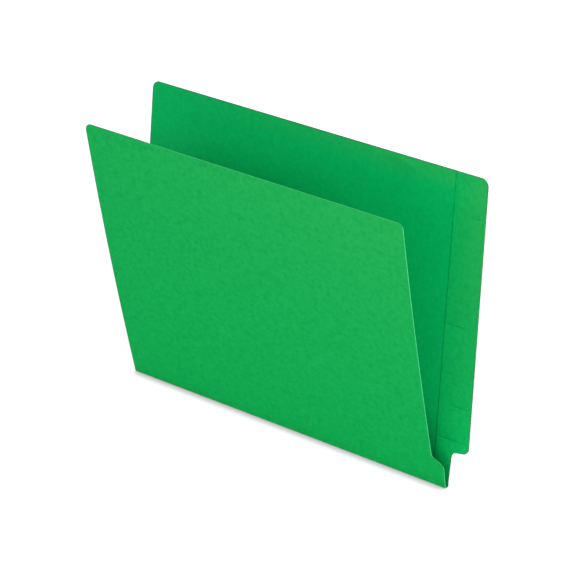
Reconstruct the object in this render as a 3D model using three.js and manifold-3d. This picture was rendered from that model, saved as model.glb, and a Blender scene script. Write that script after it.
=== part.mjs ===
// Side tab folder: a letter size file folder of coloured card, standing half open on its fold.
// The back panel carries a full-height tab at the right, stiffened by a second ply glued to its inside.
// The front panel is undercut, so the tab stays clear of it, and steps out to the fold in an S.
// Units are millimetres. +X runs along the fold towards the tab, the back panel leans to +Y and +Z is up.
// The origin is the middle of the fold strip's underside.

import * as THREE from "three";
import { mergeVertices } from "three/addons/utils/BufferGeometryUtils.js";
import Module from "manifold-3d";

const wasm = await Module();
wasm.setup();

// The sheet
const stockThickness = 0.28;
const foldLength = 299;
const foldStripWidth = 2.8;
const creaseGap = 0.15;
const outerCornerRadius = 6.35;

// The back panel and its tab
const backHeight = 241.3;
const backLeanDeg = 8.36;
const tabReach = 12.15;
const tabUndersideHeight = 27;
const tabUndersideRiseDeg = 14;
const notchCornerRadius = 5.5;
const tabLowCornerRadius = 6;

// The second ply on the inside of the tab
const plyThickness = 0.28;
const plyWidth = 27.65;
const plyFootHeight = 2;
const glueThickness = 0.05;
const glueClearance = 0.02;
const glueMargin = 1.5;

// The front panel
const frontHeight = 234.95;
const frontLeanDeg = 9.84;
const frontUndercut = 8.5;
const frontBow = 2.4;
const stepHeight = 25.3;
const stepDropDeg = 25.7;
const stepCornerRadius = 5;

// How finely the curved edges and the bow are faceted
const cornerSegments = 12;
const bowSegments = 12;

const backLean = THREE.MathUtils.degToRad(backLeanDeg);
const frontLean = THREE.MathUtils.degToRad(frontLeanDeg);
const tabUndersideRise = THREE.MathUtils.degToRad(tabUndersideRiseDeg);
const stepDrop = THREE.MathUtils.degToRad(stepDropDeg);

const leftEdge = -foldLength / 2;
const foldEnd = foldLength / 2;
const tabEdge = foldEnd + tabReach;
const frontEdge = foldEnd - frontUndercut;
const plyEdge = tabEdge - plyWidth;

function paper(color) {
  return new THREE.MeshStandardMaterial({ color, roughness: 0.9, metalness: 0 });
}

// Closed outline in a panel's own plane: x along the fold, y up the panel.
// Each corner is rounded with its own radius, and radius 0 leaves it sharp.
function roundedOutline(corners) {
  const shape = new THREE.Shape();
  corners.forEach((corner, index) => {
    const here = new THREE.Vector2(corner.x, corner.y);
    const before = corners[(index + corners.length - 1) % corners.length];
    const after = corners[(index + 1) % corners.length];
    const toBefore = new THREE.Vector2(before.x, before.y).sub(here).normalize();
    const toAfter = new THREE.Vector2(after.x, after.y).sub(here).normalize();
    const halfAngle = Math.acos(toBefore.dot(toAfter)) / 2;
    const tangentLength = corner.radius / Math.tan(halfAngle);
    const start = here.clone().addScaledVector(toBefore, tangentLength);
    if (index === 0) shape.moveTo(start.x, start.y);
    else shape.lineTo(start.x, start.y);
    if (corner.radius > 0) {
      const bisector = toBefore.clone().add(toAfter).normalize();
      const centre = here.clone().addScaledVector(bisector, corner.radius / Math.sin(halfAngle));
      const end = here.clone().addScaledVector(toAfter, tangentLength);
      const turnsRight = toBefore.cross(toAfter) > 0;
      shape.absarc(
        centre.x, centre.y, corner.radius,
        start.clone().sub(centre).angle(), end.clone().sub(centre).angle(), turnsRight,
      );
    }
  });
  shape.closePath();
  return shape;
}

// The same outline drawn in by a margin on every side
function insetCorners(corners, margin) {
  const count = corners.length;
  const edges = corners.map((corner, index) => {
    const next = corners[(index + 1) % count];
    const along = new THREE.Vector2(next.x - corner.x, next.y - corner.y).normalize();
    const inward = new THREE.Vector2(-along.y, along.x);
    return { along, start: new THREE.Vector2(corner.x, corner.y).addScaledVector(inward, margin) };
  });
  return corners.map((corner, index) => {
    const before = edges[(index + count - 1) % count];
    const after = edges[index];
    const turn = before.along.cross(after.along);
    const reach = after.start.clone().sub(before.start).cross(after.along) / turn;
    const point = before.start.clone().addScaledVector(before.along, reach);
    const radius = corner.radius - Math.sign(turn) * margin;
    return { x: point.x, y: point.y, radius: corner.radius > 0 ? Math.max(radius, 0) : 0 };
  });
}

// The right-hand edge of the back panel from the foot up to the top: notch, tab underside, tab side
function tabCorners() {
  const undersideRise = tabReach * Math.tan(tabUndersideRise);
  return [
    { x: foldEnd, y: tabUndersideHeight, radius: notchCornerRadius },
    { x: tabEdge, y: tabUndersideHeight + undersideRise, radius: tabLowCornerRadius },
    { x: tabEdge, y: backHeight, radius: outerCornerRadius },
  ];
}

function backCorners() {
  return [
    { x: leftEdge, y: creaseGap, radius: 0 },
    { x: foldEnd, y: creaseGap, radius: 0 },
    ...tabCorners(),
    { x: leftEdge, y: backHeight, radius: outerCornerRadius },
  ];
}

function plyCorners() {
  return [
    { x: plyEdge, y: plyFootHeight, radius: 0 },
    { x: foldEnd, y: plyFootHeight, radius: 0 },
    ...tabCorners(),
    { x: plyEdge, y: backHeight, radius: 0 },
  ];
}

function frontCorners() {
  const stepFall = frontUndercut * Math.tan(stepDrop);
  return [
    { x: leftEdge, y: creaseGap, radius: 0 },
    { x: foldEnd, y: creaseGap, radius: 0 },
    { x: foldEnd, y: stepHeight - stepFall, radius: stepCornerRadius },
    { x: frontEdge, y: stepHeight, radius: stepCornerRadius },
    { x: frontEdge, y: frontHeight, radius: outerCornerRadius },
    { x: leftEdge, y: frontHeight, radius: outerCornerRadius },
  ];
}

// A flat sheet of the given outline, from one distance off the panel's inner face to another
function flatSheet(corners, lowFace, thickness) {
  const options = { depth: thickness, bevelEnabled: false, curveSegments: cornerSegments };
  return new THREE.ExtrudeGeometry(roundedOutline(corners), options).translate(0, 0, lowFace);
}

function toManifold(geometry) {
  const bare = geometry.clone();
  bare.deleteAttribute("normal");
  bare.deleteAttribute("uv");
  const merged = mergeVertices(bare);
  const mesh = new wasm.Mesh({
    numProp: 3,
    vertProperties: Float32Array.from(merged.attributes.position.array),
    triVerts: Uint32Array.from(merged.index.array),
  });
  return new wasm.Manifold(mesh);
}

function toGeometry(solid) {
  const mesh = solid.getMesh();
  const geometry = new THREE.BufferGeometry();
  geometry.setAttribute("position", new THREE.BufferAttribute(mesh.vertProperties, 3));
  geometry.setIndex(new THREE.BufferAttribute(mesh.triVerts, 1));
  geometry.computeVertexNormals();
  return geometry;
}

// A sheet that bows out between its crease and its free edge, cut to the outline
function bowedSheet(corners, height, thickness, bow) {
  const bowAt = (y) => 4 * bow * (y / height) * (1 - y / height);
  const rows = Array.from({ length: bowSegments + 1 }, (_, index) => (height * index) / bowSegments);
  const section = new THREE.Shape();
  section.setFromPoints([
    ...rows.map((y) => new THREE.Vector2(y, bowAt(y))),
    ...rows.toReversed().map((y) => new THREE.Vector2(y, bowAt(y) + thickness)),
  ]);
  const sheet = new THREE.ExtrudeGeometry(section, { depth: foldLength, bevelEnabled: false });
  const sectionToPanel = new THREE.Matrix4().makeBasis(
    new THREE.Vector3(0, 1, 0), new THREE.Vector3(0, 0, 1), new THREE.Vector3(1, 0, 0),
  );
  sheet.applyMatrix4(sectionToPanel).translate(leftEdge, 0, 0);
  const die = flatSheet(corners, -bow - thickness, 3 * (bow + thickness));
  return toGeometry(toManifold(sheet).intersect(toManifold(die)));
}

function namedMesh(name, geometry, color) {
  const mesh = new THREE.Mesh(geometry, paper(color));
  mesh.name = name;
  return mesh;
}

function buildBackPanel() {
  return namedMesh("back_panel", flatSheet(backCorners(), -stockThickness, stockThickness), 0x0f9f48);
}

function buildTabAdhesive() {
  const corners = insetCorners(plyCorners(), glueMargin);
  return namedMesh("tab_adhesive", flatSheet(corners, glueClearance, glueThickness), 0xe6e2d0);
}

function buildTabReinforcement() {
  const seat = glueThickness + 2 * glueClearance;
  return namedMesh("tab_reinforcement", flatSheet(plyCorners(), seat, plyThickness), 0x16a54c);
}

function buildFrontPanel() {
  const geometry = bowedSheet(frontCorners(), frontHeight, stockThickness, frontBow);
  return namedMesh("front_panel", geometry, 0x1aa84e);
}

function buildFoldStrip() {
  const width = foldStripWidth - 2 * creaseGap;
  const geometry = new THREE.BoxGeometry(foldLength, width, stockThickness);
  geometry.translate(0, 0, stockThickness / 2);
  return namedMesh("fold_strip", geometry, 0x0d8f40);
}

// A panel's own plane stands on its crease line, which lies on the inner face of the fold strip.
const backLeaf = new THREE.Group();
backLeaf.position.set(0, foldStripWidth / 2, stockThickness);
backLeaf.rotation.x = Math.PI / 2 - backLean;
backLeaf.add(buildBackPanel(), buildTabAdhesive(), buildTabReinforcement());

const frontLeaf = new THREE.Group();
frontLeaf.position.set(0, -foldStripWidth / 2, stockThickness);
frontLeaf.rotation.x = Math.PI / 2 + frontLean;
frontLeaf.add(buildFrontPanel());

const folder = new THREE.Group();
folder.add(backLeaf, frontLeaf, buildFoldStrip());

export default folder;
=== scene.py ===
# %% [markdown]
# # Side tab folder
# The taller back leaf carries a tab down its whole side, stiffened by a second ply of card, and the
# front leaf is cut back to clear it. The real folder is one die-cut sheet, so this lesson works as its
# maker does: each blank is cut flat, then creased, then folded up into place.

# %% Read the frame
import math

import bmesh
import bpy
from mathutils import Euler, Matrix, Vector


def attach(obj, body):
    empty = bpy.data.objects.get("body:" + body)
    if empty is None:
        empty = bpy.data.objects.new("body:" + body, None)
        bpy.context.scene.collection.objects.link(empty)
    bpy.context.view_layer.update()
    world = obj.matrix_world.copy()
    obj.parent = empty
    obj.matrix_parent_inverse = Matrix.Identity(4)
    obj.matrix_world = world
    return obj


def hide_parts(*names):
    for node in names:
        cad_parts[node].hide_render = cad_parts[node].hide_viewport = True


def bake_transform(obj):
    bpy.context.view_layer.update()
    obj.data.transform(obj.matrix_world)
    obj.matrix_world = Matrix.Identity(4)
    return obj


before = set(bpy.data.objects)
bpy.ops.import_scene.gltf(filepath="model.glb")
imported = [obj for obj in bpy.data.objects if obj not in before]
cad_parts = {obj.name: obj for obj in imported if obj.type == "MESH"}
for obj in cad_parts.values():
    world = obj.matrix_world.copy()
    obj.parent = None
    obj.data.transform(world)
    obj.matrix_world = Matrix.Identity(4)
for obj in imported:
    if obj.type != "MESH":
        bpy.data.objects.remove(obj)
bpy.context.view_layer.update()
MM = 0.001
print("CAD pieces:", ", ".join(sorted(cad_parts)))

# %% [markdown]
# ## Camera
# The picture was taken from far off, from the right and from above, with the camera turned by a degree
# or two about its own line of sight. A long lens keeps the folder's edges nearly parallel. The place and
# the three turns come from fitting one camera to the straight edges of the folder.

# %% Camera
LENS, SENSOR_WIDTH, VIEW_END = 172.03, 36.0, 50.0
CAMERA_PLACE = Vector((1125.55, -1406.91, 1087.83)) * MM
YAW, PITCH, ROLL = (math.radians(angle) for angle in (38.514, 28.246, -1.603))

camera_data = bpy.data.cameras.new("camera")
camera_data.lens = LENS
camera_data.sensor_width = SENSOR_WIDTH
camera_data.clip_end = VIEW_END
camera = bpy.data.objects.new("camera", camera_data)
bpy.context.collection.objects.link(camera)
level = Euler((math.pi / 2 - PITCH, 0, YAW)).to_matrix()
camera.matrix_world = (level @ Matrix.Rotation(ROLL, 3, "Z")).to_4x4()
camera.location = CAMERA_PLACE
scene = bpy.context.scene
scene.camera = camera
scene.view_settings.view_transform = "Standard"
print("camera", round(CAMERA_PLACE.length, 3), "m from the fold")

# %% [markdown]
# ## Helpers for cutting and folding
# Blender's edit mode has the same few moves as a card cutter: slit a sheet along a line, pull an edge
# out, drag a corner, round it, fold along a crease. Each helper selects by place and then calls one
# operator, so the cells below read like a work sheet.

# %% Select by place
TINY = 0.01 * MM


def select(sheet, kind, wanted):
    """Selects the sheet's vertices, edges or faces that lie wholly where wanted says"""
    bpy.ops.mesh.select_mode(type=kind)
    bpy.ops.mesh.select_all(action="DESELECT")
    mesh = bmesh.from_edit_mesh(sheet.data)
    parts = {"VERT": mesh.verts, "EDGE": mesh.edges, "FACE": mesh.faces}[kind]
    for part in parts:
        corners = [part] if kind == "VERT" else part.verts
        if all(wanted(corner.co) for corner in corners):
            part.select_set(True)
    bmesh.update_edit_mesh(sheet.data)


def select_corner(sheet, corner):
    """Selects the one vertex that lies at a corner"""
    select(sheet, "VERT", lambda place: (place - corner).length < TINY)


print("places count as the same within", TINY / MM, "mm")

# %% Cut a sheet


def flat_sheet(name, low, high, level):
    """A flat sheet between two corners, at one level, left in edit mode"""
    bpy.ops.object.select_all(action="DESELECT")
    middle = ((low[0] + high[0]) / 2, (low[1] + high[1]) / 2, level)
    bpy.ops.mesh.primitive_plane_add(size=1, location=middle)
    sheet = bpy.context.active_object
    sheet.name = sheet.data.name = name
    sheet.scale = (high[0] - low[0], high[1] - low[1], 1)
    bpy.ops.object.transform_apply(location=True, rotation=True, scale=True)
    bpy.ops.object.mode_set(mode="EDIT")
    return sheet


def slit(place, normal):
    """Cuts the whole sheet along a plane, and leaves both sides joined"""
    bpy.ops.mesh.select_mode(type="FACE")
    bpy.ops.mesh.select_all(action="SELECT")
    bpy.ops.mesh.bisect(plane_co=place, plane_no=normal)


def one_face(sheet):
    """Removes the inner edges, so that the outline bounds a single face"""
    bpy.ops.mesh.select_mode(type="EDGE")
    bpy.ops.mesh.select_all(action="DESELECT")
    mesh = bmesh.from_edit_mesh(sheet.data)
    for edge in mesh.edges:
        edge.select_set(len(edge.link_faces) == 2)
    bmesh.update_edit_mesh(sheet.data)
    bpy.ops.mesh.dissolve_edges(use_verts=False)


print("made helpers that lay a sheet, slit it and clear its inner edges")

# %% Shape the corners
CORNER_STEPS = 12


def move_corner(sheet, corner, move):
    """Drags one corner of the outline"""
    select_corner(sheet, corner)
    bpy.ops.transform.translate(value=move)


def round_corner(sheet, corner, radius):
    """Rounds one corner of the outline, as a die does"""
    mesh = bmesh.from_edit_mesh(sheet.data)
    vertex = min(mesh.verts, key=lambda v: (v.co - corner).length)
    sides = [(edge.other_vert(vertex).co - vertex.co).normalized() for edge in vertex.link_edges]
    half_angle = sides[0].angle(sides[1]) / 2
    select_corner(sheet, corner)
    bpy.ops.mesh.bevel(
        offset=radius / math.tan(half_angle), affect="VERTICES", segments=CORNER_STEPS,
        clamp_overlap=False,
    )


print("each round corner has", CORNER_STEPS, "steps")

# %% [markdown]
# ## The back blank
# The back leaf, its tab and half of the fold strip are one piece of card. It could be drawn point by
# point, but a die cutter starts from a rectangle: slit it where the tab begins, pull the tab out past
# the end of the fold, tilt the tab's underside, drop the slits again and round every corner. The inner
# face lies upwards, level with the top of the fold strip, and the crease runs along X. In the picture
# the tab's side isn't quite square to the fold: it stands out at its foot and draws in at its top. The
# far top corner lies a millimetre lower and further in than a square sheet would have it.

# %% Sizes of the folder
CARD = 0.28 * MM
FOLD_TOP = CARD
CREASE = 1.4 * MM
LEFT, FOLD_END = -149.5 * MM, 149.5 * MM
TAB_EDGE = FOLD_END + 12.15 * MM
BACK_HEIGHT, FRONT_HEIGHT = 241.3 * MM, 234.95 * MM
BACK_LEAN, FRONT_LEAN = 8.36, 9.84
DIE_RADIUS = 6.35 * MM
print("flat blank:", round((2 * CREASE + BACK_HEIGHT + FRONT_HEIGHT) / MM, 1), "mm from top to top")

# %% Cut the back blank
TAB_FOOT = 27.0 * MM
# How far each corner is moved after the tab is pulled out, and the radii that aren't the die's own
NOTCH_MOVE, NOTCH_RADIUS = Vector((0.8, 0.8, 0)) * MM, 4.8 * MM
LOW_MOVE, LOW_RADIUS = Vector((2.9, 3.3, 0)) * MM, 5.2 * MM
TOP_MOVE = Vector((-2.2, 0, 0)) * MM
FAR_MOVE = Vector((1.0, -0.9, 0)) * MM


def cut_tab(sheet, level):
    """Pulls the tab out of the sheet's right side, above its foot, and rounds its corners"""
    slit((0, CREASE + TAB_FOOT, level), (0, 1, 0))
    select(sheet, "EDGE", lambda p: p.x > FOLD_END - TINY and p.y > CREASE + TAB_FOOT - TINY)
    reach = (TAB_EDGE - FOLD_END, 0, 0)
    bpy.ops.mesh.extrude_region_move(TRANSFORM_OT_translate={"value": reach})
    corners = (
        (Vector((FOLD_END, CREASE + TAB_FOOT, level)), NOTCH_MOVE, NOTCH_RADIUS),
        (Vector((TAB_EDGE, CREASE + TAB_FOOT, level)), LOW_MOVE, LOW_RADIUS),
        (Vector((TAB_EDGE, CREASE + BACK_HEIGHT, level)), TOP_MOVE, DIE_RADIUS),
    )
    for corner, move, _ in corners:
        move_corner(sheet, corner, move)
    one_face(sheet)
    for corner, move, radius in corners:
        round_corner(sheet, corner + move, radius)


back_sheet = flat_sheet("back_sheet", (LEFT, 0), (FOLD_END, CREASE + BACK_HEIGHT), FOLD_TOP)
cut_tab(back_sheet, FOLD_TOP)
far_corner = Vector((LEFT, CREASE + BACK_HEIGHT, FOLD_TOP))
move_corner(back_sheet, far_corner, FAR_MOVE)
round_corner(back_sheet, far_corner + FAR_MOVE, DIE_RADIUS)
print("back blank:", len(bmesh.from_edit_mesh(back_sheet.data).verts), "corners")

# %% [markdown]
# ## Edge border, creases and grid
# Cut card changes colour at its edge: where the knife leaves raw fibres it is paler, and along the back
# leaf, the ply and the left end of the front leaf it is drawn darker and duller. An inset draws a border
# just inside the outline, and later the colour fades across it. Slits along the crease and across the
# leaf give the sheet rows to bend at. Two of the columns lie where the mark of the next step begins and
# ends.

# %% Border, crease rows and grid
# The wider border carries the darker, duller edge colour
DULL_BORDER, RAW_BORDER = 1.2 * MM, 0.6 * MM
CREASE_REACH = 0.13 * MM
CREASE_ROWS = 7


def border(width):
    """Draws the thin border of the cut edge inside the outline of the sheet in edit mode"""
    bpy.ops.mesh.select_mode(type="FACE")
    bpy.ops.mesh.select_all(action="SELECT")
    bpy.ops.mesh.inset(thickness=width, use_boundary=True, use_even_offset=True)


def crease_lines(side):
    """Where the rows of one crease lie: side is 1 for the back leaf and -1 for the front leaf"""
    step = 2 * CREASE_REACH / (CREASE_ROWS - 1)
    return [side * (CREASE - CREASE_REACH + step * row) for row in range(CREASE_ROWS)]


def grid(rows, columns):
    """Slits the sheet along each row and each column"""
    for row in rows:
        slit((0, row, FOLD_TOP), (0, 1, 0))
    for column in columns:
        slit((column, 0, FOLD_TOP), (1, 0, 0))


print("crease rows in mm:", [round(row / MM, 3) for row in crease_lines(1)])

# %% Slit the back blank
ROW_PARTS, COLUMN_PARTS = 12, 14
KINK_LEFT, KINK_RIGHT = Vector((76.3, 239.0, 0)) * MM, Vector((97.7, 233.7, 0)) * MM
KINK_COLUMN = 10

BACK_ROWS = [CREASE + BACK_HEIGHT * part / ROW_PARTS for part in range(1, ROW_PARTS)]
COLUMNS = [LEFT + (FOLD_END - LEFT) * part / COLUMN_PARTS for part in range(1, COLUMN_PARTS)]
COLUMNS[KINK_COLUMN:KINK_COLUMN + 2] = KINK_LEFT.x, KINK_RIGHT.x
border(DULL_BORDER)
grid(crease_lines(1) + BACK_ROWS, COLUMNS)
print("back blank:", len(bmesh.from_edit_mesh(back_sheet.data).faces), "faces")

# %% [markdown]
# ## A mark from handling
# Near the top of the back leaf a thumb has left a soft kink, two centimetres long, that catches the
# light. One cell of the grid is slit along the kink and beside it, twice across it, and the two points
# in the middle are pushed up by less than half a millimetre.

# %% Press the kink
KINK_HALF, KINK_RISE = 1.0 * MM, 0.4 * MM
KINK_COLUMNS = (80.5 * MM, 93.0 * MM)

along_kink = (KINK_RIGHT - KINK_LEFT).normalized()
beside_kink = Vector((-along_kink.y, along_kink.x, 0))
kink_middle = (KINK_LEFT + KINK_RIGHT) / 2 + Vector((0, CREASE, FOLD_TOP))


def kink_cell(place):
    """The cell of the grid that holds the kink"""
    across = KINK_LEFT.x - TINY < place.x < KINK_RIGHT.x + TINY
    cell_top = CREASE + BACK_HEIGHT - DULL_BORDER
    return across and BACK_ROWS[-1] - TINY < place.y < cell_top + TINY


def kink_ridge(place):
    """The middle line of the kink, between the two slits across it"""
    on_line = abs((place - kink_middle).dot(beside_kink)) < TINY
    return on_line and KINK_COLUMNS[0] - TINY < place.x < KINK_COLUMNS[1] + TINY


cuts = [(kink_middle + beside_kink * shift, beside_kink) for shift in (-KINK_HALF, 0, KINK_HALF)]
cuts += [(Vector((column, 0, FOLD_TOP)), Vector((1, 0, 0))) for column in KINK_COLUMNS]
for cut_place, cut_normal in cuts:
    select(back_sheet, "FACE", kink_cell)
    bpy.ops.mesh.bisect(plane_co=cut_place, plane_no=cut_normal)
select(back_sheet, "VERT", kink_ridge)
bpy.ops.transform.translate(value=(0, 0, KINK_RISE))
print("kink points:", sum(vertex.select for vertex in bmesh.from_edit_mesh(back_sheet.data).verts))

# %% [markdown]
# ## Marking the outline
# The card's finish has to know where the knife went. A painted picture would need its own layout, so
# each point carries a number instead: 1 on the outline and 0 everywhere else. The two halves of the
# sheet meet in the middle of the fold strip, where nothing was cut, and that edge stays 0.

# %% Mark the cut edge


def cut_edges(sheet, plain_edge):
    """Marks the outline with 1 and all else with 0, apart from the edge where plain_edge holds"""
    bpy.ops.object.mode_set(mode="OBJECT")
    marks = [0.0] * len(sheet.data.vertices)
    mesh = bmesh.new()
    mesh.from_mesh(sheet.data)
    for edge in mesh.edges:
        if len(edge.link_faces) == 1 and not all(plain_edge(vertex.co) for vertex in edge.verts):
            for vertex in edge.verts:
                marks[vertex.index] = 1.0
    mesh.free()
    sheet.data.attributes.new("cut_edge", "FLOAT", "POINT").data.foreach_set("value", marks)
    bpy.ops.object.mode_set(mode="EDIT")
    return int(sum(marks))


def on_seam(place):
    """The middle of the fold strip, where the two halves of the sheet meet"""
    return abs(place.y) < TINY


print("back blank:", cut_edges(back_sheet, on_seam), "points on the cut edge")

# %% [markdown]
# ## Folding
# A crease in card isn't knife sharp: the sheet turns through a small arc. Folding a little at each of
# several lines gives that arc, from the far line back to the near one so that each line still lies flat
# when its turn comes. With no window Blender turns the other way, so the angle has its sign changed.

# %% Fold the back leaf up
HAIR = TINY / 4


def fold(sheet, lines, degrees, side):
    """Turns what lies beyond each line up by its share of the angle"""
    bpy.ops.mesh.select_mode(type="VERT")
    bpy.ops.mesh.select_all(action="DESELECT")
    mesh = bmesh.from_edit_mesh(sheet.data)
    flat = [side * vertex.co.y for vertex in mesh.verts]
    for reach in sorted((side * line for line in lines), reverse=True):
        mesh = bmesh.from_edit_mesh(sheet.data)
        for vertex in mesh.verts:
            vertex.select_set(flat[vertex.index] > reach + HAIR)
        bmesh.update_edit_mesh(sheet.data)
        bpy.ops.transform.rotate(
            value=-side * math.radians(degrees) / len(lines), orient_axis="X",
            center_override=(0, side * reach, FOLD_TOP),
        )


fold(back_sheet, crease_lines(1), 90 - BACK_LEAN, 1)
top = max(vertex.co.z for vertex in bmesh.from_edit_mesh(back_sheet.data).verts)
print("back leaf stands", round(top / MM, 2), "mm high")

# %% [markdown]
# ## Thickness
# The folded sheet so far is only its inner face. Its doubles are merged, and then Solidify gives it the
# card's own thickness on the outside. The modifier is applied so that the finished piece is plain mesh.

# %% Give a sheet its thickness
SMOOTH_BELOW = math.radians(35)


def thicken(sheet, thickness):
    """Merges doubles, adds the thickness on the outside and smooths the bends"""
    bpy.ops.mesh.select_all(action="SELECT")
    bpy.ops.mesh.remove_doubles(threshold=HAIR)
    bpy.ops.object.mode_set(mode="OBJECT")
    bpy.ops.object.modifier_add(type="SOLIDIFY")
    solid = sheet.modifiers[-1]
    solid.thickness = thickness
    solid.offset = -1
    solid.use_even_offset = True
    bpy.ops.object.modifier_apply(modifier=solid.name)
    bpy.ops.object.shade_smooth_by_angle(angle=SMOOTH_BELOW)


thicken(back_sheet, CARD)
print("back sheet:", len(back_sheet.data.polygons), "faces")

# %% [markdown]
# ## The front leaf
# The front leaf is cut back from the tab and steps out to the fold in an S. It leans out and bows a
# little, so it is folded by a small angle at each of its rows as well as at its crease. The crease turns
# it further by half of what the rows turn it back, so its top edge still ends where the flat leaf's
# would.

# %% Cut the front blank
FRONT_EDGE = 141.0 * MM
STEP_TOP, STEP_LOW, STEP_OUT = 27.4 * MM, 23.1 * MM, 1.6 * MM
STEP_TOP_RADIUS, STEP_LOW_RADIUS = 5.0 * MM, 7.5 * MM
NEAR_TOP_RADIUS = 4.6 * MM

front_sheet = flat_sheet("front_sheet", (LEFT, -CREASE - FRONT_HEIGHT), (FOLD_END, 0), FOLD_TOP)
slit((0, -CREASE - STEP_TOP, FOLD_TOP), (0, 1, 0))
slit((FRONT_EDGE, 0, FOLD_TOP), (1, 0, 0))
select(front_sheet, "FACE", lambda p: p.x > FRONT_EDGE - TINY and p.y < -CREASE - STEP_TOP + TINY)
bpy.ops.mesh.delete(type="FACE")
step_corner = Vector((FOLD_END, -CREASE - STEP_TOP, FOLD_TOP))
step_move = Vector((STEP_OUT, STEP_TOP - STEP_LOW, 0))
move_corner(front_sheet, step_corner, step_move)
one_face(front_sheet)
round_corner(front_sheet, step_corner + step_move, STEP_LOW_RADIUS)
round_corner(front_sheet, Vector((FRONT_EDGE, -CREASE - STEP_TOP, FOLD_TOP)), STEP_TOP_RADIUS)
for side_edge, radius in ((FRONT_EDGE, NEAR_TOP_RADIUS), (LEFT, DIE_RADIUS)):
    round_corner(front_sheet, Vector((side_edge, -CREASE - FRONT_HEIGHT, FOLD_TOP)), radius)
border(RAW_BORDER)
print("front blank:", len(bmesh.from_edit_mesh(front_sheet.data).verts), "corners")

# %% Bow the front leaf and fold it up
BOW = 2.0 * MM
FRONT_BENDS = 12

bend_step = FRONT_HEIGHT / FRONT_BENDS
front_rows = [-CREASE - bend_step * (row + 0.5) for row in range(FRONT_BENDS)]
grid(crease_lines(-1) + front_rows, COLUMNS)
cut_edges(front_sheet, on_seam)
# A shallow arc with this bow turns by this much from one end to the other
bow_angle = 2 * math.degrees(math.atan(4 * BOW / FRONT_HEIGHT))
fold(front_sheet, front_rows, bow_angle, -1)
fold(front_sheet, crease_lines(-1), 90 - FRONT_LEAN - bow_angle / 2, -1)
thicken(front_sheet, CARD)
front_reach = min(vertex.co.y for vertex in front_sheet.data.vertices)
print("front leaf reaches out to", round(front_reach / MM, 2), "mm")

# %% [markdown]
# ## The second ply on the tab
# A strip of the same card is glued to the inside of the tab, from above the fold to the top. It is cut
# with the tab, so it shares the tab's corners, and its straight inner edge shows as a line down the
# back leaf. Short guide lines are scored across it, where index labels are lined up. They are real
# grooves here: three slits for each line, and the middle one is pressed down. The film of glue under
# the ply is cut the same way and then drawn in all round.

# %% Cut the ply and the glue film
PLY_FOOT = 2.0 * MM
PLY_LOW_LEFT, PLY_TOP_LEFT = 136.1 * MM, 132.4 * MM
GLUE_LOW, GLUE, GLUE_MARGIN = 0.02 * MM, 0.05 * MM, 1.5 * MM
# The seat is the glue with the same small gap on either side of it
PLY_SEAT = 0.09 * MM
PLY_TOP = FOLD_TOP + PLY_SEAT + CARD


def cut_ply(name, level):
    """Cuts a strip with the tab's outline, and trims its left side along the slant of the tab"""
    low = Vector((PLY_LOW_LEFT, CREASE + PLY_FOOT, level))
    high = Vector((PLY_TOP_LEFT, CREASE + BACK_HEIGHT, level))
    strip = flat_sheet(name, (2 * high.x - low.x, low.y), (FOLD_END, high.y), level)
    bpy.ops.mesh.select_all(action="SELECT")
    slant = (high.y - low.y, low.x - high.x, 0)
    bpy.ops.mesh.bisect(plane_co=low, plane_no=slant, clear_inner=True)
    cut_tab(strip, level)
    return strip


glue_film = cut_ply("glue_film", FOLD_TOP + GLUE_LOW + GLUE)
bpy.ops.mesh.select_all(action="SELECT")
bpy.ops.mesh.inset(thickness=GLUE_MARGIN, use_boundary=True, use_even_offset=True)
bpy.ops.mesh.select_all(action="INVERT")
bpy.ops.mesh.delete(type="FACE")
thicken(glue_film, GLUE)

tab_ply = cut_ply("tab_ply", PLY_TOP)
border(DULL_BORDER)
print("glue film:", [round(side / MM, 2) for side in glue_film.dimensions], "mm, lying flat")

# %% Slit the ply for its guide lines
# Each line in mm: height above the crease, its two ends along X, and how deep it is pressed
GUIDE_LINES = (
    (37.5, 137.0, 161.6, 0.09), (64.4, 144.0, 160.0, 0.07), (81.4, 143.3, 155.3, 0.03),
    (88.9, 143.3, 156.3, 0.03), (125.9, 134.8, 149.0, 0.07), (147.8, 145.3, 155.3, 0.03),
    (210.1, 148.7, 155.7, 0.05),
)
LINE_HALF = 0.4 * MM

line_shifts = (-LINE_HALF, 0, LINE_HALF)
rows = [CREASE + height * MM + shift for height, *_ in GUIDE_LINES for shift in line_shifts]
rows += [CREASE + PLY_FOOT + DULL_BORDER / 2, CREASE + BACK_HEIGHT - DULL_BORDER / 2]
columns = sorted({end * MM for line in GUIDE_LINES for end in line[1:3]})
grid(rows, columns)
cut_edges(tab_ply, lambda place: place.x < PLY_LOW_LEFT + TINY)
thicken(tab_ply, CARD)
print("ply:", len(rows), "rows and", len(columns), "columns")

# %% Press the guide lines
DEEPEST = 0.09 * MM


def press_line(height, first, last, depth):
    """Pushes the middle slit of one guide line down, between the line's two ends"""
    line = CREASE + height * MM
    start, end = first * MM - TINY, last * MM + TINY
    select(tab_ply, "VERT", lambda p: (
        abs(p.y - line) < TINY and p.z > PLY_TOP - TINY and start < p.x < end
    ))
    bpy.ops.transform.translate(value=(0, 0, -depth * MM))


bpy.ops.object.mode_set(mode="EDIT")
for guide_line in GUIDE_LINES:
    press_line(*guide_line)
bpy.ops.object.mode_set(mode="OBJECT")
pressed = [0.0] * len(tab_ply.data.vertices)
for vertex in tab_ply.data.vertices:
    depth = PLY_TOP - vertex.co.z
    if TINY < depth < DEEPEST + TINY:
        pressed[vertex.index] = depth / DEEPEST
tab_ply.data.attributes.new("pressed", "FLOAT", "POINT").data.foreach_set("value", pressed)
print("guide lines:", len(GUIDE_LINES), "with", sum(mark > 0 for mark in pressed), "pressed points")

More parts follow.
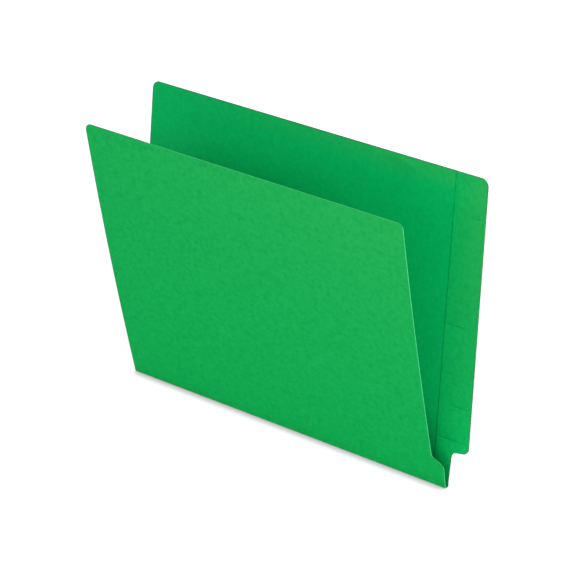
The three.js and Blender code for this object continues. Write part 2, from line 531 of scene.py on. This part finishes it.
# %% Stand the ply and the glue against the back leaf
for sheet in (tab_ply, glue_film):
    bpy.ops.object.select_all(action="DESELECT")
    sheet.select_set(True)
    bpy.context.view_layer.objects.active = sheet
    bpy.ops.object.mode_set(mode="EDIT")
    bpy.ops.mesh.select_all(action="SELECT")
    bpy.ops.transform.rotate(
        value=-math.radians(90 - BACK_LEAN), orient_axis="X", center_override=(0, CREASE, FOLD_TOP),
    )
    bpy.ops.object.mode_set(mode="OBJECT")
print("ply top at", round(max(vertex.co.z for vertex in tab_ply.data.vertices) / MM, 2), "mm")

# %% [markdown]
# ## Card
# Coloured card isn't one flat green. Its fibres clump into soft clouds a few millimetres wide, single
# pale fibres lie on it, and its surface has a fine tooth. The same effects are on every sheet, so they
# are one node group that puts out a shade, the fibres and a height. Each material sets its own colours.

# %% Node helpers


def add_node(tree, kind, settings=None, **inputs):
    """A node of one kind, with its settings, and its inputs set or linked by name or number, as i0"""
    node = tree.nodes.new(kind)
    for name, value in (settings or {}).items():
        setattr(node, name, value)
    for name, value in inputs.items():
        numbered = name[0] == "i" and name[1:].isdigit()
        socket = node.inputs[int(name[1:]) if numbered else name]
        if isinstance(value, bpy.types.NodeSocket):
            tree.links.new(value, socket)
        else:
            socket.default_value = value
    return node


def new_group(name, inputs, outputs):
    """An empty node group with its sockets, and its two end nodes"""
    tree = bpy.data.node_groups.new(name, "ShaderNodeTree")
    for socket, kind in inputs:
        tree.interface.new_socket(socket, in_out="INPUT", socket_type=kind)
    for socket, kind in outputs:
        tree.interface.new_socket(socket, in_out="OUTPUT", socket_type=kind)
    return tree, tree.nodes.new("NodeGroupInput"), tree.nodes.new("NodeGroupOutput")


print("made helpers that add a node and start a group")

# %% Noise, sums and mixes


def noise(tree, place, scale, detail, roughness=0.5):
    """Soft noise from 0 to 1"""
    return add_node(
        tree, "ShaderNodeTexNoise", Vector=place, Scale=scale, Detail=detail, Roughness=roughness,
    ).outputs["Fac"]


def math_node(tree, operation, first, second, third=0.0, clamp=False):
    """One sum, held between 0 and 1 if clamp says so"""
    return add_node(
        tree, "ShaderNodeMath", {"operation": operation, "use_clamp": clamp},
        i0=first, i1=second, i2=third,
    ).outputs[0]


def mix_color(tree, share, first, second):
    """The first colour where share is 0, the second where it is 1"""
    return add_node(
        tree, "ShaderNodeMix", {"data_type": "RGBA"}, i0=share, i6=first, i7=second,
    ).outputs[2]


print("made helpers for noise, sums and mixed colours")

# %% Clouds and grain
CLOUD_SCALE, GRAIN_SCALE = 260.0, 1500.0

fibres, fibres_in, fibres_out = new_group(
    "card fibres",
    [("Place", "NodeSocketVector"), ("Clouds", "NodeSocketFloat"), ("Grain", "NodeSocketFloat")],
    [("Shade", "NodeSocketFloat"), ("Fibre", "NodeSocketFloat"), ("Height", "NodeSocketFloat")],
)
place = fibres_in.outputs["Place"]


def about_zero(value, amount):
    """Noise about zero, times the amount that a material asks for"""
    centred = math_node(fibres, "SUBTRACT", value, 0.5)
    return math_node(fibres, "MULTIPLY", centred, fibres_in.outputs[amount])


clouds = about_zero(noise(fibres, place, CLOUD_SCALE, detail=4.0, roughness=0.6), "Clouds")
grain = about_zero(noise(fibres, place, GRAIN_SCALE, detail=3.0), "Grain")
shade = math_node(fibres, "ADD", math_node(fibres, "ADD", clouds, grain), 0.5, clamp=True)
fibres.links.new(shade, fibres_out.inputs["Shade"])
print("clouds about", round(1 / CLOUD_SCALE / MM, 1), "mm wide")

# %% Fibres and tooth
# Noise stretched along two slanting lines leaves thin strands once all but its peaks are cut off
STRAND_SCALE, TOOTH_SCALE = 1900.0, 3200.0
STRAND_TURNS, STRAND_STRETCH = (0.5, -0.7), (0.12, 1.0, 1.0)
STRAND_GAIN, STRAND_CUT = 14.0, -9.9

strands = []
for turn in STRAND_TURNS:
    turned = add_node(
        fibres, "ShaderNodeMapping", Vector=place, Rotation=(0, turn, turn), Scale=STRAND_STRETCH,
    ).outputs["Vector"]
    strand = noise(fibres, turned, STRAND_SCALE, detail=1.0)
    strands.append(math_node(fibres, "MULTIPLY_ADD", strand, STRAND_GAIN, STRAND_CUT, clamp=True))
fibre = math_node(fibres, "MAXIMUM", *strands)
fibres.links.new(fibre, fibres_out.inputs["Fibre"])
tooth = noise(fibres, place, TOOTH_SCALE, detail=2.0)
height = math_node(fibres, "MULTIPLY_ADD", tooth, 0.5, math_node(fibres, "MULTIPLY", fibre, 0.5))
fibres.links.new(height, fibres_out.inputs["Height"])
print("fibre group:", len(fibres.nodes), "nodes")

# %% [markdown]
# ## Painted sheen
# Towards the top and the tab the green takes a faint, paler sheen that takes a little of its depth:
# painted sheen and painted light. A group puts out its share: it rises with height and from left to
# right.

# %% Painted sheen group
SHEEN_TOP, SHEEN_CURVE = 238.0 * MM, 1.3

sheen_group, sheen_in, sheen_out = new_group(
    "painted sheen",
    [("Place", "NodeSocketVector"), ("Start", "NodeSocketFloat"), ("Slope", "NodeSocketFloat"),
     ("Base", "NodeSocketFloat"), ("Low", "NodeSocketFloat")],
    [("Share", "NodeSocketFloat")],
)
axes = add_node(sheen_group, "ShaderNodeSeparateXYZ", Vector=sheen_in.outputs["Place"]).outputs
above = math_node(sheen_group, "SUBTRACT", axes["Z"], sheen_in.outputs["Low"])
reach = math_node(sheen_group, "SUBTRACT", SHEEN_TOP, sheen_in.outputs["Low"])
risen = math_node(sheen_group, "DIVIDE", above, reach, clamp=True)
rise = math_node(sheen_group, "POWER", risen, SHEEN_CURVE)
offset = math_node(sheen_group, "SUBTRACT", axes["X"], sheen_in.outputs["Start"])
across = math_node(
    sheen_group, "MULTIPLY_ADD", offset, sheen_in.outputs["Slope"], sheen_in.outputs["Base"], clamp=True,
)
sheen_group.links.new(math_node(sheen_group, "MULTIPLY", rise, across), sheen_out.inputs["Share"])
print("haze group:", len(sheen_group.nodes), "nodes")

# %% [markdown]
# ## Cut edge
# The knife leaves the edge of the card a little ragged. The sheets carry a mark that is 1 on the outline
# and 0 from the border inwards, so another group can fade from the edge to plain card, with noise
# breaking the line up.

# %% Cut edge group
RAGGED_SCALE, RAGGED_GAIN, RAGGED_BASE, EDGE_CURVE = 900.0, 0.9, 0.45, 1.6

cut_group, cut_in, cut_out = new_group(
    "cut edge",
    [("Place", "NodeSocketVector"), ("Card", "NodeSocketColor"), ("Edge", "NodeSocketColor")],
    [("Color", "NodeSocketColor")],
)
mark = add_node(cut_group, "ShaderNodeAttribute", {"attribute_name": "cut_edge"}).outputs["Fac"]
ragged = noise(cut_group, cut_in.outputs["Place"], RAGGED_SCALE, detail=3.0)
ragged = math_node(cut_group, "MULTIPLY_ADD", ragged, RAGGED_GAIN, RAGGED_BASE)
worn = math_node(cut_group, "MULTIPLY", mark, ragged)
worn = math_node(cut_group, "POWER", worn, EDGE_CURVE, clamp=True)
mixed = mix_color(cut_group, worn, cut_in.outputs["Card"], cut_in.outputs["Edge"])
cut_group.links.new(mixed, cut_out.inputs["Color"])
print("cut edge group:", len(cut_group.nodes), "nodes")

# %% [markdown]
# ## Four finishes of one card
# The two outsides, the inside and the tab are the same card, each with greens of its own; the inside's
# and the tab's are bluer and a little brighter, painted light for the cool light between the leaves.
# Deep between the leaves the light is green and weak, so there shade is painted in: the colour sinks
# towards a darker green, by how much of the nearest three centimetres is covered. The front leaf's raw
# edge is pale, but drawn dull and darker near the left side, and the pressed lines of the tab hold a
# little painted shade. One function makes all four, so that they stay alike.

# %% Greens of the card
OUTER_DARK, OUTER_LIGHT = (0.0004, 0.311, 0.062, 1), (0.0014, 0.413, 0.085, 1)
# The inside's and the tab's greens are bluer and a little brighter: painted light, standing in for the
# cool light that fills the shade between the leaves
INNER_DARK, INNER_LIGHT = (0.0006, 0.350, 0.085, 1), (0.0012, 0.430, 0.109, 1)
TAB_DARK, TAB_LIGHT = (0.0006, 0.342, 0.077, 1), (0.0018, 0.44, 0.102, 1)
# Pale fibres, and the greyer green of the painted sheen
PALE_FIBRE, SHEEN_GREEN = (0.02, 0.52, 0.16, 1), (0.02, 0.38, 0.083, 1)
# The pale raw edge, and a darker, duller edge colour
PALE_EDGE, DULL_EDGE = (0.1, 0.7, 0.29, 1), (0.03, 0.13, 0.055, 1)
# Painted shade: the deep green for the pocket and the green of the pressed lines
POCKET_SHADE_GREEN, SHADED_GREEN = (0.0004, 0.09, 0.021, 1), (0.001, 0.2, 0.04, 1)
# Each painted sheen: where it starts along X, how fast it grows, its share there, and the height it
# starts at
FRONT_SHEEN, INNER_SHEEN = (0.0, 1.35, 0.5, 0.0), (0.0, 3.0, 0.4, 0.22)
TAB_SHEEN = (PLY_LOW_LEFT, 36.0, 0.22, 0.0)
print("green of the front leaf:", OUTER_DARK[:3], "to", OUTER_LIGHT[:3])

# %% Painted shade in the pocket, and the dull left end
POCKET_REACH, POCKET_GAIN, POCKET_SAMPLES = 30.0 * MM, 1.65, 8
DULL_LENGTH, DULL_FADE = 60.0 * MM, 1 / (6.0 * MM)
DULL_END = LEFT + DULL_LENGTH


def paint_pocket_shade(tree, color, shade_color):
    """Paints shade: fades a colour to a deeper one where the other leaf is close"""
    open_share = add_node(
        tree, "ShaderNodeAmbientOcclusion", {"samples": POCKET_SAMPLES}, Distance=POCKET_REACH,
    ).outputs["AO"]
    bare = math_node(tree, "MULTIPLY", open_share, POCKET_GAIN, clamp=True)
    return mix_color(tree, bare, shade_color, color)


def dull_left_end(tree, place, edge_color):
    """Makes the colour of the cut edge dull near the left side"""
    along = add_node(tree, "ShaderNodeSeparateXYZ", Vector=place).outputs["X"]
    at_left = math_node(tree, "MULTIPLY_ADD", along, -DULL_FADE, DULL_FADE * DULL_END, clamp=True)
    return mix_color(tree, at_left, edge_color, DULL_EDGE)


print("the raw edge is dull for", round(DULL_LENGTH / MM, 1), "mm from the left side")

# %% Card colour
FIBRE_SHARE = 0.35
PATCH_GAIN, PATCH_BASE = 1.4, 0.3


def card_color(tree, place, card, dark, light, sheen):
    """Clouded green with pale fibres and its painted sheen"""
    color = mix_color(tree, card["Shade"], dark, light)
    faint = math_node(tree, "MULTIPLY", card["Fibre"], FIBRE_SHARE)
    color = mix_color(tree, faint, color, PALE_FIBRE)
    # Mixes in the painted sheen, mottled by the card's clouds
    start, slope, base, low = sheen
    sheen_share = add_node(
        tree, "ShaderNodeGroup", {"node_tree": sheen_group},
        Place=place, Start=start, Slope=slope, Base=base, Low=low,
    ).outputs["Share"]
    patch = math_node(tree, "MULTIPLY_ADD", card["Shade"], PATCH_GAIN, PATCH_BASE)
    return mix_color(tree, math_node(tree, "MULTIPLY", sheen_share, patch), color, SHEEN_GREEN)


print("pale fibres cover up to", FIBRE_SHARE, "of the green")

# %% Card material
CLOUDS, GRAIN = 1.9, 1.3
ROUGH_GAIN, ROUGH_BASE, GLOSS = -0.1, 0.6, 0.03
TOOTH_STRENGTH, TOOTH_DEPTH = 0.25, 0.02 * MM


def card_material(
    name, dark, light, edge_color, sheen, shade_color=None, pressed_color=None, dull_left=False,
):
    """Card: clouded colour, pale fibres, its own cut edge and a fine tooth"""
    material = bpy.data.materials.new(name)
    material.use_nodes = True
    tree = material.node_tree
    shader = tree.nodes["Principled BSDF"]
    place = tree.nodes.new("ShaderNodeTexCoord").outputs["Object"]
    card = add_node(
        tree, "ShaderNodeGroup", {"node_tree": fibres}, Place=place, Clouds=CLOUDS, Grain=GRAIN,
    ).outputs
    color = card_color(tree, place, card, dark, light, sheen)
    if shade_color:
        color = paint_pocket_shade(tree, color, shade_color)
    if dull_left:
        edge_color = dull_left_end(tree, place, edge_color)
    if pressed_color:
        pressed_mark = add_node(tree, "ShaderNodeAttribute", {"attribute_name": "pressed"})
        color = mix_color(tree, pressed_mark.outputs["Fac"], color, pressed_color)
    color = add_node(
        tree, "ShaderNodeGroup", {"node_tree": cut_group}, Place=place, Card=color, Edge=edge_color,
    ).outputs["Color"]
    tree.links.new(color, shader.inputs["Base Color"])
    rough = math_node(tree, "MULTIPLY_ADD", card["Shade"], ROUGH_GAIN, ROUGH_BASE)
    tree.links.new(rough, shader.inputs["Roughness"])
    shader.inputs["Specular IOR Level"].default_value = GLOSS
    bump = add_node(
        tree, "ShaderNodeBump", Strength=TOOTH_STRENGTH, Distance=TOOTH_DEPTH, Height=card["Height"],
    )
    tree.links.new(bump.outputs["Normal"], shader.inputs["Normal"])
    print(name, "has", len(tree.nodes), "nodes")
    return material


print("the card's tooth is", round(TOOTH_DEPTH / MM, 3), "mm deep")

# %% The four finishes
front_card = card_material(
    "green card, front leaf", OUTER_DARK, OUTER_LIGHT, PALE_EDGE, FRONT_SHEEN, dull_left=True,
)
back_card = card_material("green card, back leaf", OUTER_DARK, OUTER_LIGHT, DULL_EDGE, FRONT_SHEEN)
inner_card = card_material(
    "green card, inside", INNER_DARK, INNER_LIGHT, DULL_EDGE, INNER_SHEEN, shade_color=POCKET_SHADE_GREEN,
)
tab_card = card_material(
    "green card, tab", TAB_DARK, TAB_LIGHT, DULL_EDGE, TAB_SHEEN,
    shade_color=POCKET_SHADE_GREEN, pressed_color=SHADED_GREEN,
)

# %% [markdown]
# ## Two sides of one sheet
# A leaf is one sheet, but its inside and its outside have finishes of their own, and the inner one's
# bluer, brighter green is painted light. They could be two thin sheets back to back, which would part at
# the crease. Instead each face takes its finish from the way it points: a face that points away from the
# outside gets the inner green.

# %% Two sides of one sheet
INWARD = -0.2


def face_sides(sheet, side, outer_card):
    """Gives the inside of a leaf its own finish: side is 1 for the back leaf, -1 for the front leaf"""
    sheet.data.materials.append(outer_card)
    sheet.data.materials.append(inner_card)
    outward = Vector((0, side, -1)).normalized()
    for face in sheet.data.polygons:
        face.material_index = 1 if face.normal.dot(outward) < INWARD else 0
    return sum(face.material_index for face in sheet.data.polygons)


for sheet, side, outer_card in ((back_sheet, 1, back_card), (front_sheet, -1, front_card)):
    print(sheet.name, "has", face_sides(sheet, side, outer_card), "inner faces")
tab_ply.data.materials.append(tab_card)

# %% [markdown]
# ## Glue
# The film of dried glue lies between the ply and the back leaf, where nobody sees it unless the ply
# lifts. It has a dull, milky finish with small bubbles.

# %% Glue material
BUBBLE_SCALE, MILK_SCALE = 900.0, 300.0
MILK_DARK, MILK_LIGHT = (0.72, 0.68, 0.55, 1), (0.86, 0.84, 0.76, 1)
GLUE_ROUGH_GAIN, GLUE_ROUGH_BASE = 0.3, 0.35

glue = bpy.data.materials.new("dried glue")
glue.use_nodes = True
glue_tree = glue.node_tree
glue_shader = glue_tree.nodes["Principled BSDF"]
glue_place = glue_tree.nodes.new("ShaderNodeTexCoord").outputs["Object"]
bubbles = add_node(
    glue_tree, "ShaderNodeTexVoronoi", Vector=glue_place, Scale=BUBBLE_SCALE,
).outputs["Distance"]
milk = noise(glue_tree, glue_place, MILK_SCALE, detail=3.0)
glue_color = mix_color(glue_tree, milk, MILK_DARK, MILK_LIGHT)
glue_rough = math_node(glue_tree, "MULTIPLY_ADD", bubbles, GLUE_ROUGH_GAIN, GLUE_ROUGH_BASE)
glue_tree.links.new(glue_color, glue_shader.inputs["Base Color"])
glue_tree.links.new(glue_rough, glue_shader.inputs["Roughness"])
glue_film.data.materials.append(glue)
print("glue:", len(glue_tree.nodes), "nodes")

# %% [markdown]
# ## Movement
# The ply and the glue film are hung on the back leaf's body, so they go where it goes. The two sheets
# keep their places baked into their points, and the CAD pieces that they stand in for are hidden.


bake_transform(back_sheet)
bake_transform(front_sheet)
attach(tab_ply, "back")
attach(glue_film, "back")
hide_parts("back_panel", "fold_strip")
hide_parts("front_panel", "fold_strip")
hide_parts("tab_reinforcement")
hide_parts("tab_adhesive")

# %% [markdown]
# ## Floor and light
# The folder stands on a white sweep that shows as plain white, with only the dark line of contact under
# the fold. To the camera, and in gloss or glass, the floor therefore has some light of its own, and the
# lamps and the sky add the rest. Close to the card this glow fades and the floor's colour deepens, by
# how much of the nearest centimetre the card covers.

# %% Floor
FLOOR_SIZE = 12
bpy.ops.object.select_all(action="DESELECT")
bpy.ops.mesh.primitive_plane_add(size=FLOOR_SIZE, location=(0, 0, 0))
floor = bpy.context.active_object
floor.name = "floor"
print("floor:", FLOOR_SIZE, "m wide")

# %% White of the floor
FLOOR_GLOW, FLOOR_WHITE = 0.6, 0.86
CONTACT_REACH, CONTACT_GAIN, CONTACT_SAMPLES = 10.0 * MM, 1.25, 12
PLAIN_TINT = (FLOOR_WHITE, FLOOR_WHITE, FLOOR_WHITE, 1)
SEEN_TINT, SHADOW_TINT = (FLOOR_WHITE, 0.74, FLOOR_WHITE, 1), (0.43, 0.29, 0.38, 1)


def shown(tree):
    """1 for rays that show the background as such: from the camera, off gloss or through glass"""
    ray = tree.nodes.new("ShaderNodeLightPath").outputs
    seen = math_node(tree, "MAXIMUM", ray["Is Camera Ray"], ray["Is Glossy Ray"])
    return math_node(tree, "MAXIMUM", seen, ray["Is Transmission Ray"])


white = bpy.data.materials.new("white sweep")
white.use_nodes = True
sweep = white.node_tree
sweep_shader = sweep.nodes["Principled BSDF"]
open_share = add_node(
    sweep, "ShaderNodeAmbientOcclusion", {"samples": CONTACT_SAMPLES}, Distance=CONTACT_REACH,
).outputs["AO"]
bare = math_node(sweep, "MULTIPLY_ADD", open_share, CONTACT_GAIN, 1 - CONTACT_GAIN, clamp=True)
seen = shown(sweep)
glow = math_node(sweep, "MULTIPLY", math_node(sweep, "MULTIPLY", seen, FLOOR_GLOW), bare)
bare = math_node(sweep, "MAXIMUM", bare, math_node(sweep, "SUBTRACT", 1.0, seen))
floor_tint = mix_color(sweep, seen, PLAIN_TINT, SEEN_TINT)
sweep.links.new(mix_color(sweep, bare, SHADOW_TINT, floor_tint), sweep_shader.inputs["Base Color"])
sweep_shader.inputs["Roughness"].default_value = 1.0
sweep_shader.inputs["Specular IOR Level"].default_value = 0.0
sweep_shader.inputs["Emission Color"].default_value = (1, 1, 1, 1)
sweep.links.new(glow, sweep_shader.inputs["Emission Strength"])
floor.data.materials.append(white)
print("white sweep:", len(sweep.nodes), "nodes")

# %% Lamps
LAMP_DISTANCE, AIM_HEIGHT = 4.0, 0.12


def softbox(name, azimuth, elevation, size, power):
    """A square lamp that faces the folder, seen from it at an azimuth from the front and an elevation"""
    turn, rise = math.radians(azimuth), math.radians(elevation)
    away = Vector((
        math.sin(turn) * math.cos(rise), -math.cos(turn) * math.cos(rise), math.sin(rise),
    ))
    lamp_data = bpy.data.lights.new(name, "AREA")
    lamp_data.size, lamp_data.energy = size, power
    lamp = bpy.data.objects.new(name, lamp_data)
    bpy.context.collection.objects.link(lamp)
    lamp.location = Vector((0, 0, AIM_HEIGHT)) + away * LAMP_DISTANCE
    lamp.rotation_euler = away.to_track_quat("Z", "Y").to_euler()
    print(name, "at", [round(value, 2) for value in lamp.location], "m")


softbox("key softbox", azimuth=64, elevation=21, size=1.4, power=155.0)
softbox("fill softbox", azimuth=-35, elevation=14, size=1.2, power=12.0)

# %% Sky
WORLD_LIGHT = 0.55

world = bpy.data.worlds.new("studio")
world.use_nodes = True
sky = world.node_tree
strength = math_node(sky, "MULTIPLY_ADD", shown(sky), 1 - WORLD_LIGHT, WORLD_LIGHT)
sky.links.new(strength, sky.nodes["Background"].inputs["Strength"])
sky.nodes["Background"].inputs["Color"].default_value = (1, 1, 1, 1)
scene.world = world
print("sky:", WORLD_LIGHT, "on the folder and 1 where it shows")
